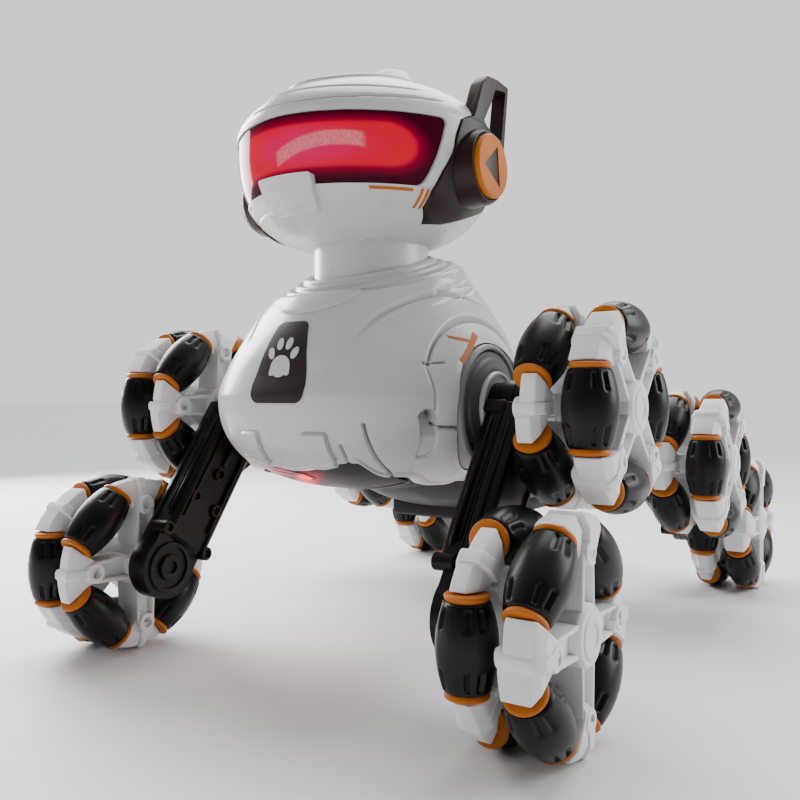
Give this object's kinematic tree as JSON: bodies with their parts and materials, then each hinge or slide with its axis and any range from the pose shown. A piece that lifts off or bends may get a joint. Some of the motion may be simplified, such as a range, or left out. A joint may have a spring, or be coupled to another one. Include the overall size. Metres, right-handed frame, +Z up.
{
  "type": "robot dog toy",
  "caption": "Rounded robot dog toy with a visor head that turns, swinging arms, and omnidirectional wheels with barrel rollers on the hips and the arm ends.",
  "frame": {"origin": "on the floor, under the middle of the object's bounding box, with the four lower wheels standing on it", "axes": "+Z up, nose towards -Y, the dog's left side at +X"},
  "size_m": [0.23, 0.3342, 0.246],
  "materials": {
    "white_shell": "satin",
    "wheel_white": "satin",
    "dark_plastic": "satin",
    "brown_plastic": "satin",
    "grey_plastic": "satin",
    "black_plastic": "satin",
    "black_gloss": "gloss",
    "roller_black": "semi-gloss",
    "orange_plastic": "satin",
    "visor_tint": "gloss",
    "red_light": "gloss",
    "board_green": "satin",
    "steel": "brushed"
  },
  "bodies": {
    "torso": {"body_shell": "white_shell", "belly_pan": "dark_plastic", "chest_badge": "brown_plastic", "chest_light_lens": "red_light", "hip_disc_front_left": "grey_plastic", "hip_disc_front_right": "grey_plastic", "hip_disc_rear_left": "grey_plastic", "hip_disc_rear_right": "grey_plastic", "front_gearbox": "black_plastic", "rear_gearbox": "black_plastic", "battery_pack": "black_plastic", "battery_door": "dark_plastic", "battery_door_screw": "steel", "main_board": "board_green", "speaker": "black_plastic", "neck_bearing": "grey_plastic"},
    "head": {"head_shell": "white_shell", "jaw_shell": "white_shell", "visor_lens": "visor_tint", "light_panel": "red_light", "nose_plate": "white_shell", "ear_left": "brown_plastic", "ear_right": "brown_plastic", "ear_disc_left": "orange_plastic", "ear_disc_right": "orange_plastic", "neck_post": "white_shell"},
    "switch": {"power_switch": "black_plastic"},
    "front_left_arm": {"arm_housing_front_left": "black_gloss", "arm_cover_front_left": "black_gloss"},
    "front_left_upper_wheel": {"wheel_frame_front_left_upper": "wheel_white", "outer_rollers_front_left_upper": "roller_black", "inner_rollers_front_left_upper": "roller_black"},
    "front_left_lower_wheel": {"wheel_frame_front_left_lower": "wheel_white", "outer_rollers_front_left_lower": "roller_black", "inner_rollers_front_left_lower": "roller_black"},
    "front_right_arm": {"arm_housing_front_right": "black_gloss", "arm_cover_front_right": "black_gloss"},
    "front_right_upper_wheel": {"wheel_frame_front_right_upper": "wheel_white", "outer_rollers_front_right_upper": "roller_black", "inner_rollers_front_right_upper": "roller_black"},
    "front_right_lower_wheel": {"wheel_frame_front_right_lower": "wheel_white", "outer_rollers_front_right_lower": "roller_black", "inner_rollers_front_right_lower": "roller_black"},
    "rear_left_arm": {"arm_housing_rear_left": "black_gloss", "arm_cover_rear_left": "black_gloss"},
    "rear_left_upper_wheel": {"wheel_frame_rear_left_upper": "wheel_white", "outer_rollers_rear_left_upper": "roller_black", "inner_rollers_rear_left_upper": "roller_black"},
    "rear_left_lower_wheel": {"wheel_frame_rear_left_lower": "wheel_white", "outer_rollers_rear_left_lower": "roller_black", "inner_rollers_rear_left_lower": "roller_black"},
    "rear_right_arm": {"arm_housing_rear_right": "black_gloss", "arm_cover_rear_right": "black_gloss"},
    "rear_right_upper_wheel": {"wheel_frame_rear_right_upper": "wheel_white", "outer_rollers_rear_right_upper": "roller_black", "inner_rollers_rear_right_upper": "roller_black"},
    "rear_right_lower_wheel": {"wheel_frame_rear_right_lower": "wheel_white", "outer_rollers_rear_right_lower": "roller_black", "inner_rollers_rear_right_lower": "roller_black"}
  },
  "joints": [
    {"name": "head_turn", "type": "hinge", "parent": "torso", "child": "head", "pos_m": [0, -0.082, 0.155], "axis": [0, 0, 1], "range_deg": [-40, 40]},
    {"name": "switch_slide", "type": "slide", "parent": "torso", "child": "switch", "axis": [0, 1, 0], "range_m": [-0.0018, 0.0018]},
    {"name": "front_left_arm_swing", "type": "hinge", "parent": "torso", "child": "front_left_arm", "pos_m": [0, -0.08596, 0.10168], "axis": [1, 0, 0], "range_deg": [-100, 35]},
    {"name": "front_left_upper_spin", "type": "hinge", "parent": "front_left_arm", "child": "front_left_upper_wheel", "pos_m": [0.0967, -0.08596, 0.10168], "axis": [1, 0, 0], "continuous": true},
    {"name": "front_left_lower_spin", "type": "hinge", "parent": "front_left_arm", "child": "front_left_lower_wheel", "pos_m": [0.0967, -0.1311, 0.036], "axis": [1, 0, 0], "continuous": true},
    {"name": "front_right_arm_swing", "type": "hinge", "parent": "torso", "child": "front_right_arm", "pos_m": [0, -0.08596, 0.10168], "axis": [1, 0, 0], "range_deg": [-100, 35]},
    {"name": "front_right_upper_spin", "type": "hinge", "parent": "front_right_arm", "child": "front_right_upper_wheel", "pos_m": [-0.0967, -0.08596, 0.10168], "axis": [1, 0, 0], "continuous": true},
    {"name": "front_right_lower_spin", "type": "hinge", "parent": "front_right_arm", "child": "front_right_lower_wheel", "pos_m": [-0.0967, -0.1311, 0.036], "axis": [1, 0, 0], "continuous": true},
    {"name": "rear_left_arm_swing", "type": "hinge", "parent": "torso", "child": "rear_left_arm", "pos_m": [0, 0.06079, 0.07354], "axis": [1, 0, 0], "range_deg": [-62, 75]},
    {"name": "rear_left_upper_spin", "type": "hinge", "parent": "rear_left_arm", "child": "rear_left_upper_wheel", "pos_m": [0.0967, 0.06079, 0.07354], "axis": [1, 0, 0], "continuous": true},
    {"name": "rear_left_lower_spin", "type": "hinge", "parent": "rear_left_arm", "child": "rear_left_lower_wheel", "pos_m": [0.0967, 0.1311, 0.036], "axis": [1, 0, 0], "continuous": true},
    {"name": "rear_right_arm_swing", "type": "hinge", "parent": "torso", "child": "rear_right_arm", "pos_m": [0, 0.06079, 0.07354], "axis": [1, 0, 0], "range_deg": [-62, 75]},
    {"name": "rear_right_upper_spin", "type": "hinge", "parent": "rear_right_arm", "child": "rear_right_upper_wheel", "pos_m": [-0.0967, 0.06079, 0.07354], "axis": [1, 0, 0], "continuous": true},
    {"name": "rear_right_lower_spin", "type": "hinge", "parent": "rear_right_arm", "child": "rear_right_lower_wheel", "pos_m": [-0.0967, 0.1311, 0.036], "axis": [1, 0, 0], "continuous": true}
  ],
  "couplings": [
    {"joint": "front_left_lower_spin", "follows": "front_left_upper_spin", "ratio": 1},
    {"joint": "front_right_lower_spin", "follows": "front_right_upper_spin", "ratio": 1},
    {"joint": "rear_left_lower_spin", "follows": "rear_left_upper_spin", "ratio": 1},
    {"joint": "rear_right_lower_spin", "follows": "rear_right_upper_spin", "ratio": 1}
  ]
}
